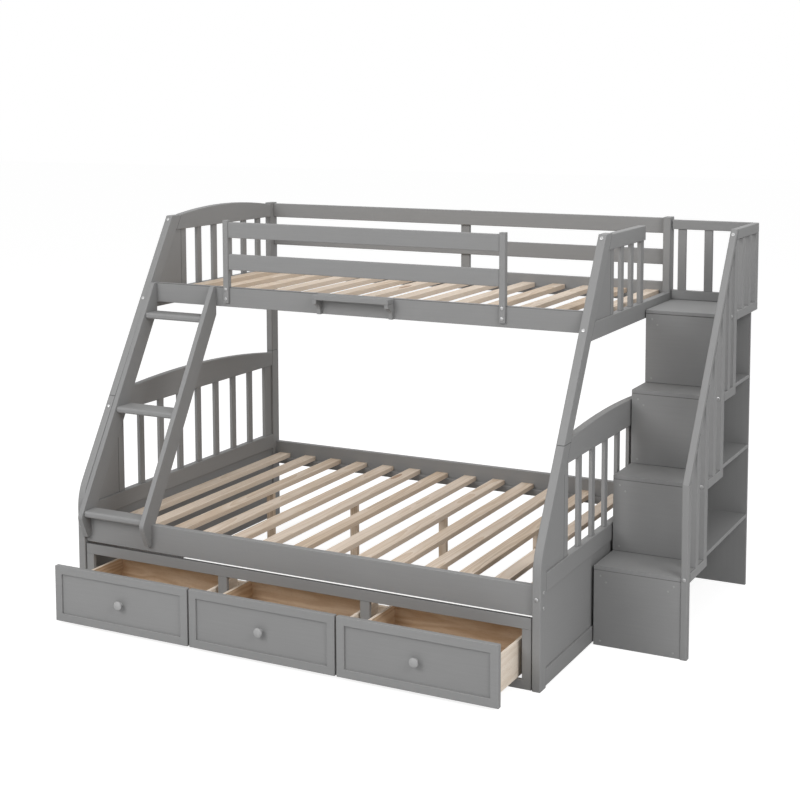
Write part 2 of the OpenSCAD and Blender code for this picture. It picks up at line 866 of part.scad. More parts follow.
module newel() {
  side_plate(stair_end, railing_end, [[newel_y, 0], [newel_back, 0],
    [newel_back, hand_under_z(newel_back)], [newel_y, hand_z]]);
}

module handrail() {
  side_plate(stair_end, railing_end, [[newel_y, hand_z],
    [newel_back, hand_under_z(newel_back)],
    [hand_under_y(hand_top_z), hand_top_z], [hand_front_y(hand_top_z), hand_top_z]]);
}

module railing_rails() {
  for (k = [0 : 3]) {
    block(stair_end, railing_end, stile_back(k), k == 3 ? rail_end_y : stile_back(k + 1),
      tread_top(k) - rail_drop, foot_top(k));
  }
  side_plate(stair_end, railing_end, [[hand_under_y(head_z), head_z],
    [rail_end_y, head_z], [rail_end_y, hand_top_z], [hand_under_y(hand_top_z), hand_top_z]]);
}

// An upright of the railing, cut to the underside of the handrail and the top rail
module railing_upright(y0, y1, z0) {
  knee = hand_under_y(head_z);
  side_plate(stair_end, railing_end, concat([[y0, z0], [y1, z0],
    [y1, min(hand_under_z(y1), head_z)]],
    y0 < knee && knee < y1 ? [[knee, head_z]] : [],
    [[y0, min(hand_under_z(y0), head_z)]]));
}

module railing_bars() {
  for (k = [1 : 4]) {
    railing_upright(stile_front(k), stile_front(k) + rail_stile_w, foot_top(k - 1));
  }
  for (k = [0 : 3]) {
    bars = k == 3 ? platform_bars : 1;
    y0 = stile_back(k);
    gap = (stile_front(k + 1) - y0 - bars * rail_bar_w) / (bars + 1);
    for (i = [0 : bars - 1]) {
      bar_y = y0 + gap + i * (rail_bar_w + gap);
      railing_upright(bar_y, bar_y + rail_bar_w, foot_top(k));
    }
  }
}

module platform_guard() {
  y0 = stair_back - back_panel_t;
  bar_in = (back_panel_t - bar_t) / 2;
  low = platform_z + back_panel_h + fit;
  high = hand_top_z - back_panel_h - fit;
  block(stair_x, stair_end, y0, stair_back, platform_z, platform_z + back_panel_h);
  block(stair_x, stair_end, y0, stair_back, hand_top_z - back_panel_h, hand_top_z);
  for (k = [0 : back_panel_bars - 1]) {
    x0 = stair_x + back_panel_in + k * back_panel_step;
    block(x0, x0 + back_panel_bar, y0 + bar_in, stair_back - bar_in, low, high);
  }
}

// Fasteners

// A bolt head on a face: it stands along Z with its foot at the origin
module bolt_head() {
  difference() {
    cylinder(h = bolt_h, r = bolt_r, $fn = round_sides);
    translate([0, 0, bolt_h - key_d])
      cylinder(h = key_d + past, r = key_r, $fn = 6);
  }
}

module bolt_forward(x, y, z) {
  translate([x, y, z])
    rotate([90, 0, 0])
      bolt_head();
}

// A bolt head square to a face that leans back by an angle
module bolt_leaning(x, y, z, deg) {
  translate([x, y, z])
    rotate([90 - deg, 0, 0])
      bolt_head();
}

module screw_cap(x, y, z) {
  translate([x, y, z])
    rotate([90, 0, 0])
      cylinder(h = cap_h, r = cap_r, $fn = round_sides);
}

// Bolts through the front posts, the outer faces of the legs and the guard stiles
module bed_bolts() {
  for (x = [-post_t / 2, bed_len + post_t / 2]) {
    for (z = [end_rail_z + rail_bolt_up, front_top_z - post_bolt_down]) {
      bolt_leaning(x, front_at(z), z, lean_deg);
    }
  }
  seam_bolt_z = seam_z - seam_bolt_down;
  bolt_leaning(-post_t / 2, front_at(seam_bolt_z), seam_bolt_z, lean_deg);
  for (x = [-post_t / 2, bed_len + post_t / 2]) {
    bolt_forward(x, 0, low_rail_z + front_bolt_up);
  }
  leg_bolt_z = low_rail_z + leg_bolt_up;
  for (z = [leg_bolt_z, leg_bolt_z + leg_bolt_gap]) {
    translate([bed_len + post_t, low_front_y + rail_t / 2, z])
      rotate([0, 90, 0])
        bolt_head();
    translate([-post_t, low_front_y + rail_t / 2, z])
      rotate([0, -90, 0])
        bolt_head();
  }
  guard_bolt_z = guard_stile_z + guard_bolt_up;
  for (x = [guard_left_x, guard_right_x], z = [guard_bolt_z, guard_bolt_z + guard_bolt_gap]) {
    bolt_forward(x + guard_stile_w / 2, guard_front_y, z);
  }
}

module railing_bolts() {
  x = (stair_end + railing_end) / 2;
  bolt_forward(x, newel_y, tread_top(0) - rail_drop + rail_foot_h / 2);
  for (k = [1 : 3]) {
    z = tread_top(k) - rail_drop + rail_foot_h / 2;
    bolt_forward(x, stile_front(k), z);
  }
  z = head_z + rail_head_h / 2;
  bolt_leaning(x, hand_front_y(z), z, 90 - hand_deg);
}

// Two screw caps at each upper corner of a riser and one at each lower corner
module riser_caps() {
  for (k = [0 : 3]) {
    z0 = k == 0 ? 0 : tread_top(k - 1);
    z1 = tread_top(k) - board_t;
    for (s = [0, 1]) {
      x = s == 0 ? stair_x + cap_in : stair_end - cap_in;
      x2 = s == 0 ? x + cap_down : x - cap_down;
      screw_cap(x, nose(k), z1 - cap_down);
      screw_cap(x2, nose(k), z1 - 2 * cap_down);
      screw_cap(x, nose(k), z0 + cap_up);
    }
  }
}

// Spacers that hold the stairs off the back post of the bed
module stair_spacers() {
  y = (back_post_y + back_board_y) / 2;
  for (share = spacer_shares) {
    translate([bed_len + post_t, y, share * platform_z])
      rotate([0, 90, 0])
        cylinder(h = stair_gap, r = spacer_r, $fn = round_sides);
  }
}

// The named sub-parts, each in its place and colour

module painted(shade) {
  color(shade)
    placed()
      children();
}

module left_front_leg() {
  painted(gray)
    at_end(false)
      front_leg();
}

module left_front_post() {
  painted(gray)
    at_end(false)
      front_post();
}

module left_back_leg() {
  painted(gray)
    at_end(false)
      back_leg();
}

module left_back_post() {
  painted(gray)
    at_end(false)
      back_post();
}

module left_lower_rails() {
  painted(gray)
    at_end(false)
      lower_rails();
}

module left_lower_infill() {
  painted(gray)
    at_end(false)
      lower_infill();
}

module left_lower_arch() {
  painted(gray)
    at_end(false)
      lower_arch();
}

module left_end_rail() {
  painted(gray)
    at_end(false)
      end_rail();
}

module left_upper_infill() {
  painted(gray)
    at_end(false)
      upper_infill(false);
}

module left_upper_arch() {
  painted(gray)
    at_end(false)
      upper_arch();
}

module right_front_leg() {
  painted(gray)
    at_end(true)
      front_leg();
}

module right_front_post() {
  painted(gray)
    at_end(true)
      front_post();
}

module right_back_leg() {
  painted(gray)
    at_end(true)
      back_leg();
}

module right_back_post() {
  painted(gray)
    at_end(true)
      back_post();
}

module right_lower_rails() {
  painted(gray)
    at_end(true)
      lower_rails();
}

module right_lower_infill() {
  painted(gray)
    at_end(true)
      lower_infill();
}

module right_lower_arch() {
  painted(gray)
    at_end(true)
      lower_arch();
}

module right_end_rail() {
  painted(gray)
    at_end(true)
      end_rail();
}

module right_upper_infill() {
  painted(gray)
    at_end(true)
      upper_infill(true);
}

module right_upper_rail() {
  painted(gray)
    at_end(true)
      entry_rail();
}

module end_base_panels() {
  painted(gray)
    for (right = [false, true]) {
      at_end(right)
        base_panel();
    }
}

module lower_front_rail() {
  painted(gray)
    front_rail(low_front_y, low_rail_z, low_rail_top);
}

module lower_back_rail() {
  painted(gray)
    front_rail(back_rail_y, low_rail_z, low_rail_top);
}

module upper_front_rail() {
  painted(gray)
    front_rail(top_front_y, top_rail_z, top_rail_top);
}

module upper_back_rail() {
  painted(gray)
    front_rail(back_rail_y, top_rail_z, top_rail_top);
}

module slat_ledgers() {
  painted(dark_gray) {
    ledger_pair(low_front_y, low_slat_top);
    ledger_pair(top_front_y, top_slat_top);
  }
}

module lower_slats() {
  painted(pine)
    slat_deck(low_front_y, low_slat_top);
}

module upper_slats() {
  painted(pine)
    slat_deck(top_front_y, top_slat_top);
}

module slat_legs() {
  painted(pine)
    slat_props();
}

module back_guard() {
  painted(gray)
    back_guard_boards();
}

module front_guard_stiles() {
  painted(gray) {
    guard_stile(guard_left_x);
    guard_stile(guard_right_x);
  }
}

module front_guard_boards() {
  painted(gray) {
    guard_board(guard_low_z);
    guard_board(guard_high_z);
  }
}

module bedside_shelf() {
  painted(gray)
    shelf_board();
}

module shelf_brackets() {
  painted(gray) {
    shelf_bracket(shelf_x);
    shelf_bracket(shelf_x + shelf_len - bracket_t);
  }
}

module ladder_sides() {
  painted(gray) {
    ladder_side(0);
    ladder_side(ladder_w - stringer_t);
  }
}

module ladder_treads() {
  painted(gray)
    ladder_steps();
}

module drawer_frame() {
  painted(gray)
    drawer_face_frame();
}

module drawer_runners() {
  painted(deal)
    runner_frame();
}

module drawer_left_front() {
  painted(gray)
    drawer_front_frame(0);
}

module drawer_left_panel() {
  painted(gray)
    drawer_panel(0);
}

module drawer_left_box() {
  painted(deal)
    drawer_box(0);
}

module drawer_left_knob() {
  painted(gray)
    drawer_knob(0);
}

module drawer_middle_front() {
  painted(gray)
    drawer_front_frame(1);
}

module drawer_middle_panel() {
  painted(gray)
    drawer_panel(1);
}

module drawer_middle_box() {
  painted(deal)
    drawer_box(1);
}

module drawer_middle_knob() {
  painted(gray)
    drawer_knob(1);
}

module drawer_right_front() {
  painted(gray)
    drawer_front_frame(2);
}

module drawer_right_panel() {
  painted(gray)
    drawer_panel(2);
}

module drawer_right_box() {
  painted(deal)
    drawer_box(2);
}

module drawer_right_knob() {
  painted(gray)
    drawer_knob(2);
}

module stair_treads() {
  painted(gray)
    tread_boards();
}

module stair_risers() {
  painted(gray)
    riser_boards();
}

module stair_side() {
  painted(gray)
    stepped_side();
}

module stair_back() {
  painted(gray)
    back_board();
}

module stair_newel() {
  painted(gray)
    newel();
}

module stair_handrail() {
  painted(gray)
    handrail();
}

module stair_railing_rails() {
  painted(gray)
    railing_rails();
}

module stair_railing_bars() {
  painted(gray)
    railing_bars();
}

module stair_back_guard() {
  painted(gray)
    platform_guard();
}

module bolts() {
  painted(steel) {
    bed_bolts();
    railing_bolts();
    riser_caps();
    stair_spacers();
  }
}

left_front_leg();
left_front_post();
left_back_leg();
left_back_post();
left_lower_rails();
left_lower_infill();
left_lower_arch();
left_end_rail();
left_upper_infill();
left_upper_arch();
right_front_leg();
right_front_post();
right_back_leg();
right_back_post();
right_lower_rails();
right_lower_infill();
right_lower_arch();
right_end_rail();
right_upper_infill();
right_upper_rail();
end_base_panels();
lower_front_rail();
lower_back_rail();
upper_front_rail();
upper_back_rail();
slat_ledgers();
lower_slats();
upper_slats();
slat_legs();
back_guard();
front_guard_stiles();
front_guard_boards();
bedside_shelf();
shelf_brackets();
ladder_sides();
ladder_treads();
drawer_frame();
drawer_runners();
drawer_left_front();
drawer_left_panel();
drawer_left_box();
drawer_left_knob();
drawer_middle_front();
drawer_middle_panel();
drawer_middle_box();
drawer_middle_knob();
drawer_right_front();
drawer_right_panel();
drawer_right_box();
drawer_right_knob();
stair_treads();
stair_risers();
stair_side();
stair_back();
stair_newel();
stair_handrail();
stair_railing_rails();
stair_railing_bars();
stair_back_guard();
bolts();
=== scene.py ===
import math
import random

import bmesh
import bpy
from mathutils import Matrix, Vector
from mathutils.bvhtree import BVHTree


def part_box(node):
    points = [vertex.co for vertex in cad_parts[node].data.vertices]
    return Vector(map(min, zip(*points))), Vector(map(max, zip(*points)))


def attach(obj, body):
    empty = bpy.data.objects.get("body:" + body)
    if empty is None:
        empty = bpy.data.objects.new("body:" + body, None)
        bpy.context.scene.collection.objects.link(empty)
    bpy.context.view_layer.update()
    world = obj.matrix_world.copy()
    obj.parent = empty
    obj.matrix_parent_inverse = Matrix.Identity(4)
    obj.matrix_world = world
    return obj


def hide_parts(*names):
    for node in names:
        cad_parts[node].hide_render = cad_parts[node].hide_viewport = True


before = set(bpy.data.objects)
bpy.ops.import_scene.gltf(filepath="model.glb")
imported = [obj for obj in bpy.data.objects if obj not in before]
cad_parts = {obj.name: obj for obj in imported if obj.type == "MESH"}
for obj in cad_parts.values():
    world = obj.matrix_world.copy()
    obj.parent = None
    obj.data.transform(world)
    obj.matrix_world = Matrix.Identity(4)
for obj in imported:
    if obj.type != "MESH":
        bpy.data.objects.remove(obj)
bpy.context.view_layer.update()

# Legs and posts. Sawn from solid pine, the long edges rounded over with a
# router, then primed and sprayed a satin grey. Each leaning post stands on a
# bent front leg, and each back post on a back leg.

MM = 0.001
SAME_POINT = 0.02 * MM
FLAT_ANGLE = math.radians(0.2)
ARRIS_ANGLE = math.radians(25)
CREASE_ANGLE = math.radians(42)
LENGTHWISE_COSINE = 0.7
ROUND_STEPS = 3
JOINT_REACH = 2.6 * MM
MIDDLE_GREY = (143, 143, 143)
PAINT_SHINE = 0.32
EDGE_WEAR_AND_HIGHLIGHT = 0.27
JOINT_SHADE_STRENGTH = 0.85

# Where in the log a board is cut, in metres along, across and above its heart.
CUT_ALONG = (0, 9)
CUT_ACROSS = (-0.03, 0.03)
CUT_ABOVE_HEART = (0.03, 0.06)


class Wire:
    """One value inside a finish. Sums written with it become Math nodes, and | takes the
    larger of two."""

    def __init__(self, finish, socket):
        self.finish = finish
        self.socket = socket

    def maths(self, operation, first, second):
        return self.finish.add("ShaderNodeMath", {"operation": operation}, {0: first, 1: second})

    def __add__(self, other):
        return self.maths("ADD", self, other)

    def __sub__(self, other):
        return self.maths("SUBTRACT", self, other)

    def __rsub__(self, other):
        return self.maths("SUBTRACT", other, self)

    def __mul__(self, other):
        return self.maths("MULTIPLY", self, other)

    def __or__(self, other):
        return self.maths("MAXIMUM", self, other)

    def __gt__(self, other):
        return self.maths("GREATER_THAN", self, other)

    def __lt__(self, other):
        return self.maths("LESS_THAN", self, other)

    __radd__ = __add__
    __rmul__ = __mul__


class Finish:
    """A paint, stain or metal, or the light of a room, built up node by node."""

    def __init__(self, name, kept_in=bpy.data.materials):
        self.data = kept_in.new(name)
        self.data.use_nodes = True
        self.tree = self.data.node_tree
        self.tree.nodes.clear()

    def add(self, kind, settings=None, inputs=None, output=0):
        """Makes one node: its settings first, then its sockets' values and links."""
        node = self.tree.nodes.new(kind)
        for name, value in (settings or {}).items():
            if name == "stops":
                ramp = node.color_ramp.elements
                ramp.remove(ramp[1])
                ramp[0].position, ramp[0].color = value[0]
                for place, colour in value[1:]:
                    ramp.new(place).color = colour
            else:
                setattr(node, name, value)
        for key, value in (inputs or {}).items():
            if isinstance(value, Wire):
                self.tree.links.new(value.socket, node.inputs[key])
            else:
                node.inputs[key].default_value = value
        return Wire(self, node.outputs[output]) if len(node.outputs) else None

    def board(self, name, output="Fac"):
        """What the board's mesh holds under a name."""
        return self.add("ShaderNodeAttribute", {"attribute_name": name}, output=output)

    def stretch(self, place, scale):
        return self.add("ShaderNodeMapping", {}, {"Vector": place, "Scale": scale})

    def noise(self, place, scale, detail=2.0, roughness=0.5, output=0):
        return self.add("ShaderNodeTexNoise", {}, {"Vector": place, "Scale": scale,
                        "Detail": detail, "Roughness": roughness}, output)

    def grain(self, place, along, across, detail=2.0, roughness=0.5, output=0):
        """Noise drawn out along a board, with its spots per metre along and across."""
        drawn_out = self.stretch(place, (along, across, across))
        return self.noise(drawn_out, 1.0, detail, roughness, output)

    def blend(self, share, first, second):
        """Mixes two colours. The Mix node has those at inputs 6 and 7 and output 2."""
        return self.add("ShaderNodeMix", {"data_type": "RGBA"},
                        {0: share, 6: first, 7: second}, output=2)

    def bump(self, height, depth):
        return self.add("ShaderNodeBump", {}, {"Height": height, "Distance": depth})

    def surface(self, **sockets):
        """Ends the finish with its shader, whose sockets are named with underscores."""
        names = {name.replace("_", " "): value for name, value in sockets.items()}
        shader = self.add("ShaderNodeBsdfPrincipled", {}, names)
        self.add("ShaderNodeOutputMaterial", {}, {"Surface": shader})
        return self


def chart(colour, lighter=1.0):
    """A colour from a 0 to 255 chart as linear light, made lighter or darker."""
    return tuple(min(1.0, lighter * ((c / 255 + 0.055) / 1.055) ** 2.4) for c in colour) + (1,)


def sprayed_paint(name, colour, grain_depth, sheen):
    """Satin paint on pine: the grain shows as faint streaks, edges are lighter, partly rubbed
    thinner and partly a painted highlight, and joints get painted shade.
    """
    paint = Finish(name)
    place = paint.board("board_place", "Vector")
    tone = paint.board("board_tone")
    edge = paint.board("board_edge")
    streaks = paint.grain(place, along=5, across=150, detail=5.0, roughness=0.6)
    pores = paint.grain(place, along=40, across=1100)
    peel = paint.noise(place, scale=420.0)
    cloud = paint.noise(place, scale=4.0, detail=3.0)
    depth = (streaks - 0.5) * 0.55 + (cloud - 0.5) * 0.35 + (tone - 0.5) * 0.35
    thick, thin = chart(colour, lighter=0.9), chart(colour, lighter=1.1)
    body = paint.blend(depth + 0.5, thick, thin)
    # Rounded edges turn lighter: partly paint rubbed thin, partly a painted highlight.
    worn_and_lit_edge = edge * paint.noise(place, scale=60.0, detail=4.0) * EDGE_WEAR_AND_HIGHLIGHT
    rubbed_and_highlit = paint.blend(worn_and_lit_edge, body, chart(colour, lighter=1.2))
    # Painted shade: rounded edges that dip into a joint with another board turn dark, as the shade
    # in the groove.
    painted_joint_shade = paint.board("board_joint") * JOINT_SHADE_STRENGTH
    coloured = paint.blend(painted_joint_shade, rubbed_and_highlit, chart(colour, lighter=0.2))
    height = streaks * 0.55 + pores * 0.25 + peel * 0.2
    return paint.surface(
        Base_Color=coloured,
        Roughness=streaks * 0.12 + cloud * 0.08 + (sheen - edge * 0.05),
        Specular_IOR_Level=PAINT_SHINE,
        Normal=paint.bump(height, depth=grain_depth),
    )


def joined_up(node):
    """The solids of a CAD node as whole flat faces, merged from its loose triangles."""
    shape = bmesh.new()
    shape.from_mesh(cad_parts[node].data)
    bmesh.ops.remove_doubles(shape, verts=shape.verts, dist=SAME_POINT)
    bmesh.ops.dissolve_limit(shape, angle_limit=FLAT_ANGLE, use_dissolve_boundaries=False,
                             verts=shape.verts, edges=shape.edges)
    bmesh.ops.recalc_face_normals(shape, faces=shape.faces)
    return shape


def boards_in(shape):
    """The separate boards of a shape, each as the list of its verts."""
    boards = []
    for vert in shape.verts:
        vert.tag = False
    for first in shape.verts:
        if first.tag:
            continue
        first.tag = True
        board = [first]
        for vert in board:
            for edge in vert.link_edges:
                other = edge.other_vert(vert)
                if not other.tag:
                    other.tag = True
                    board.append(other)
        boards.append(board)
    return boards


def unique(items):
    return list(dict.fromkeys(items))


def lay_of(board, along=None):
    """Directions along, across and through a board, by its longest edge and widest face."""
    edges = unique(edge for vert in board for edge in vert.link_edges)
    faces = unique(face for vert in board for face in vert.link_faces)
    if along is None:
        longest = max(edges, key=lambda edge: round(edge.calc_length(), 4))
        along = (longest.verts[1].co - longest.verts[0].co).normalized()
        if max(along, key=abs) < 0:
            along = -along
    side_faces = [face for face in faces if abs(face.normal.dot(along)) < LENGTHWISE_COSINE]
    widest = max(side_faces, key=lambda face: round(face.calc_area(), 6))
    through = (widest.normal - along * widest.normal.dot(along)).normalized()
    if max(through, key=abs) < 0:
        through = -through
    return along, through.cross(along), through


def every_board():
    """A search tree over all boards of the CAD model, and the board each face is on."""
    corners, faces, owners = [], [], []
    for node in sorted(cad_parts):
        shape = joined_up(node)
        for number, board in enumerate(boards_in(shape)):
            for vert in board:
                vert.index = len(corners)
                corners.append(vert.co.copy())
            for face in unique(face for vert in board for face in vert.link_faces):
                faces.append([vert.index for vert in face.verts])
                owners.append((node, number))
        shape.free()
    return BVHTree.FromPolygons(corners, faces), owners


all_boards, board_of_face = every_board()


def round_over(shape, edges, radius):
    """Rounds edges of one board, and marks the new faces as rounded."""
    if not edges or not radius:
        return
    made = bmesh.ops.bevel(shape, geom=edges, offset=radius, offset_type="OFFSET",
                           segments=ROUND_STEPS, profile=0.5, affect="EDGES", material=-1,
                           clamp_overlap=True, loop_slide=True)
    rounded = shape.faces.layers.int["rounded"]
    for face in made["faces"]:
        face[rounded] = 1


def sharp_edges(board, along, with_grain):
    """A board's arrises: those that run with the grain, or those round its ends."""
    picked = []
    for edge in unique(edge for vert in board for edge in vert.link_edges):
        if len(edge.link_faces) != 2 or edge.calc_face_angle() < ARRIS_ANGLE:
            continue
        direction = (edge.verts[1].co - edge.verts[0].co).normalized()
        if (abs(direction.dot(along)) > LENGTHWISE_COSINE) == with_grain:
            picked.append(edge)
    return picked


def write_grain(shape, seed, along=None):
    """Gives each board its own place in the timber, its tone and its rounded edges."""
    dice = random.Random(seed)
    place = shape.verts.layers.float_vector.new("board_place")
    tone = shape.verts.layers.float.new("board_tone")
    worn_and_lit_edge = shape.verts.layers.float.new("board_edge")
    rounded = shape.faces.layers.int["rounded"]
    for board in boards_in(shape):
        lay = lay_of(board, along)
        middle = sum((vert.co for vert in board), Vector()) / len(board)
        shift = Vector([dice.uniform(*cut) for cut in (CUT_ALONG, CUT_ACROSS, CUT_ABOVE_HEART)])
        own_tone = dice.random()
        for vert in board:
            from_middle = vert.co - middle
            vert[place] = Vector([from_middle.dot(way) for way in lay]) + shift
            vert[tone] = own_tone
            vert[worn_and_lit_edge] = float(all(face[rounded] for face in vert.link_faces))


def joint_depth(point, own_board):
    """How far a point dips into a joint with another board, from 0 to 1."""
    near = [hit[3] for hit in all_boards.find_nearest_range(point, JOINT_REACH)
            if board_of_face[hit[2]] != own_board]
    return 1 - min(near) / JOINT_REACH if near else 0.0


def paint_joint_shade(shape, node):
    """Paints shade on the rounded edges that dip into a joint all along, not only at one end, as
    the dark of the groove between boards.
    """
    joint = shape.loops.layers.float.new("board_joint")
    rounded = shape.faces.layers.int["rounded"]
    number = shape.faces.layers.int["board_number"]
    depth = {}
    for face in shape.faces:
        own_board = (node, face[number])
        if not face[rounded] or not joint_depth(face.calc_center_median(), own_board):
            continue
        for loop in face.loops:
            if loop.vert not in depth:
                depth[loop.vert] = joint_depth(loop.vert.co, own_board)
            loop[joint] = depth[loop.vert]


def into_piece(name, shape, finish, body, stands_for=()):
    """Turns a finished shape into an object that rides on its body."""
    for face in shape.faces:
        face.smooth = True
    for edge in shape.edges:
        edge.smooth = len(edge.link_faces) == 2 and edge.calc_face_angle() < CREASE_ANGLE
    mesh = bpy.data.meshes.new(name)
    shape.to_mesh(mesh)
    shape.free()
    mesh.materials.append(finish.data)
    piece = bpy.data.objects.new(name, mesh)
    bpy.context.scene.collection.objects.link(piece)
    even = piece.modifiers.new("even shading", "WEIGHTED_NORMAL")
    even.keep_sharp = True
    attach(piece, body)
    if stands_for:
        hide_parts(*stands_for)
    return piece


def finish_boards(node, finish, edge_mm, end_mm, body="bed",
                  along=None):
    """Rounds over the boards of a CAD node, lays the grain in them and puts the finish on."""
    shape = joined_up(node)
    shape.faces.layers.int.new("rounded")
    number = shape.faces.layers.int.new("board_number")
    for count, board in enumerate(boards_in(shape)):
        for face in unique(face for vert in board for face in vert.link_faces):
            face[number] = count
    for with_grain, radius in ((True, edge_mm * MM), (False, end_mm * MM)):
        for board in boards_in(shape):
            way = along or lay_of(board)[0]
            round_over(shape, sharp_edges(board, way, with_grain), radius)
    write_grain(shape, node, along)
    paint_joint_shade(shape, node)
    return into_piece(f"{node}_finished", shape, finish, body, (node,))


post_paint = sprayed_paint("gray paint on posts", MIDDLE_GREY, grain_depth=0.12 * MM, sheen=0.45)

for side in ("left", "right"):
    for post in ("front_leg", "front_post", "back_leg", "back_post"):
        finish_boards(f"{side}_{post}", post_paint, edge_mm=4.0, end_mm=1.8)

# End panels. Pine rails between the legs, a flat panel below them, and upright
# bars tenoned into the rails. The bars have eased edges, so that small hands
# slide over them.

ACROSS_BED = Vector((0, 1, 0))
rail_paint = sprayed_paint("gray paint on rails", MIDDLE_GREY, grain_depth=0.12 * MM, sheen=0.47)
panel_paint = sprayed_paint("gray paint on panels", MIDDLE_GREY, grain_depth=0.05 * MM, sheen=0.49)

for side in ("left", "right"):
    finish_boards(f"{side}_lower_rails", rail_paint, edge_mm=2.0, end_mm=0.5)
    finish_boards(f"{side}_end_rail", rail_paint, edge_mm=2.0, end_mm=0.5)
    finish_boards(f"{side}_lower_infill", rail_paint, edge_mm=1.4, end_mm=0.5)
    finish_boards(f"{side}_upper_infill", rail_paint, edge_mm=1.4, end_mm=0.5)
finish_boards("end_base_panels", panel_paint, edge_mm=0.6, end_mm=0.6)

# Arched head and foot rails. Each is bandsawn from a wide board to a long flat
# curve, and its top edge is rounded for the hand.

for rail in ("left_lower_arch", "right_lower_arch", "left_upper_arch"):
    finish_boards(rail, rail_paint, edge_mm=3.5, end_mm=0.6, along=ACROSS_BED)
finish_boards("right_upper_rail", rail_paint, edge_mm=3.5, end_mm=1.5)

# Long side rails of both bunks. Straight planed pine with eased edges, held
# between the two ends by bolts that pass through the legs and posts.

for rail in ("lower_front_rail", "lower_back_rail", "upper_front_rail", "upper_back_rail"):
    finish_boards(rail, rail_paint, edge_mm=2.5, end_mm=0.6)

# Slat ledgers. Square battens glued and screwed inside the side rails, sprayed
# with the rails but not rubbed down, so they are a little rougher.

LEDGER_GREY = (136, 136, 136)
ledger_paint = sprayed_paint("gray paint on ledgers", LEDGER_GREY, grain_depth=0.2 * MM, sheen=0.57)
finish_boards("slat_ledgers", ledger_paint, edge_mm=1.5, end_mm=0.5)

# Slats and the short legs under the lower slats. Planed pine, left unpainted:
# pale early wood, darker rings, a few small knots and slightly eased edges.

EARLY_WOOD = (232, 216, 199)
LATE_WOOD = (214, 192, 168)
KNOT = (150, 110, 76)
KNOT_SIZE = 0.16
KNOT_STRENGTH = 0.75
KNOTTY_SHARE = 0.3
FRESH_EDGE = 0.25
BARE_WOOD_SHINE = 0.35


def growth_rings(wood, place, wander, sway, profile, ring_sockets):
    """Rings round the heart of the log, which wander aside by as much as the sway."""
    aside = wood.add("ShaderNodeVectorMath", {"operation": "MULTIPLY"},
                     {0: wander, 1: (0.0, sway, sway)})
    swayed = wood.add("ShaderNodeVectorMath", {"operation": "ADD"}, {0: place, 1: aside})
    settings = {"wave_type": "RINGS", "rings_direction": "X", "wave_profile": profile}
    return wood.add("ShaderNodeTexWave", settings, {"Vector": swayed} | ring_sockets, "Fac")


def planed_pine(name):
    """Growth rings round a heart that lies a little below each board, with a few knots."""
    pine = Finish(name)
    place = pine.board("board_place", "Vector")
    tone = pine.board("board_tone")
    edge = pine.board("board_edge")
    wander = pine.grain(place, along=1.6, across=9, output="Color")
    rings = growth_rings(pine, place, wander, 0.03, "SAW",
                         {"Scale": 60.0, "Distortion": 0.6, "Detail": 2.0, "Detail Scale": 0.4})
    fibres = pine.grain(place, along=14, across=900, detail=3.0, roughness=0.6)
    cloud = pine.grain(place, along=2, across=10)
    cells = {"Vector": pine.stretch(place, (2.4, 11, 11)), "Scale": 1.0}
    from_knot = pine.add("ShaderNodeTexVoronoi", {}, cells, "Distance")
    own_number = pine.add("ShaderNodeTexVoronoi", {}, cells, "Color")
    shading = rings * 0.4 + fibres * 0.4 + cloud * 0.35 + tone * 0.35
    wood = pine.add("ShaderNodeValToRGB", {"stops": [
        (0.3, chart(EARLY_WOOD, 1.08)), (0.6, chart(EARLY_WOOD, 0.97)),
        (0.85, chart(LATE_WOOD)), (1.0, chart(LATE_WOOD, 0.88))]}, {0: shading})
    is_knot = (from_knot < KNOT_SIZE) * (own_number < KNOTTY_SHARE)
    knotted = pine.blend(is_knot * KNOT_STRENGTH, wood, chart(KNOT))
    coloured = pine.blend(edge * FRESH_EDGE, knotted, chart(EARLY_WOOD, lighter=1.1))
    return pine.surface(
        Base_Color=coloured,
        Roughness=0.62 - rings * 0.1 + fibres * 0.08,
        Specular_IOR_Level=BARE_WOOD_SHINE,
        Normal=pine.bump(fibres * 0.7 + rings * 0.3, depth=0.15 * MM),
    )


slat_pine = planed_pine("planed pine slats")

for slats in ("lower_slats", "upper_slats"):
    finish_boards(slats, slat_pine, edge_mm=1.8, end_mm=0.8)
finish_boards("slat_legs", slat_pine, edge_mm=1.5, end_mm=0.8)

# Guards of the upper bunk. Two boards at the front between stiles that are
# bolted to the rail, and boards at the back, all rounded over on every edge.

finish_boards("back_guard", rail_paint, edge_mm=3.5, end_mm=1.5)
finish_boards("front_guard_stiles", post_paint, edge_mm=3.5, end_mm=2.5)
finish_boards("front_guard_boards", rail_paint, edge_mm=3.5, end_mm=1.5)

# Bedside shelf. A narrow board with rounded ends on two cut brackets, which
# hook over the upper front rail.

finish_boards("bedside_shelf", rail_paint, edge_mm=2.5, end_mm=2.5)
finish_boards("shelf_brackets", rail_paint, edge_mm=1.5, end_mm=1.5)

# Ladder. Two leaning sides and three flat treads of thick pine with bullnosed
# edges, dowelled into the sides.

finish_boards("ladder_sides", post_paint, edge_mm=5.0, end_mm=2.0)
finish_boards("ladder_treads", post_paint, edge_mm=7.0, end_mm=0.8)

# Drawer frame and runners. A painted face frame under the lower rail, and bare
# hardwood runners that the drawers slide on.

VENEER_PALE = (250, 238, 223)
VENEER_STREAK = (234, 217, 197)
INSIDE_PALE_WITH_SHADE = (228, 208, 184)
INSIDE_BROWN_WITH_SHADE = (192, 163, 132)
VENEER_PORE = (150, 112, 80)
PORE_LEVEL = 0.66
PORE_STRENGTH = 0.3
FRAME_TOP_DARK = 0.9
TOP_WITHIN = 0.1 * MM


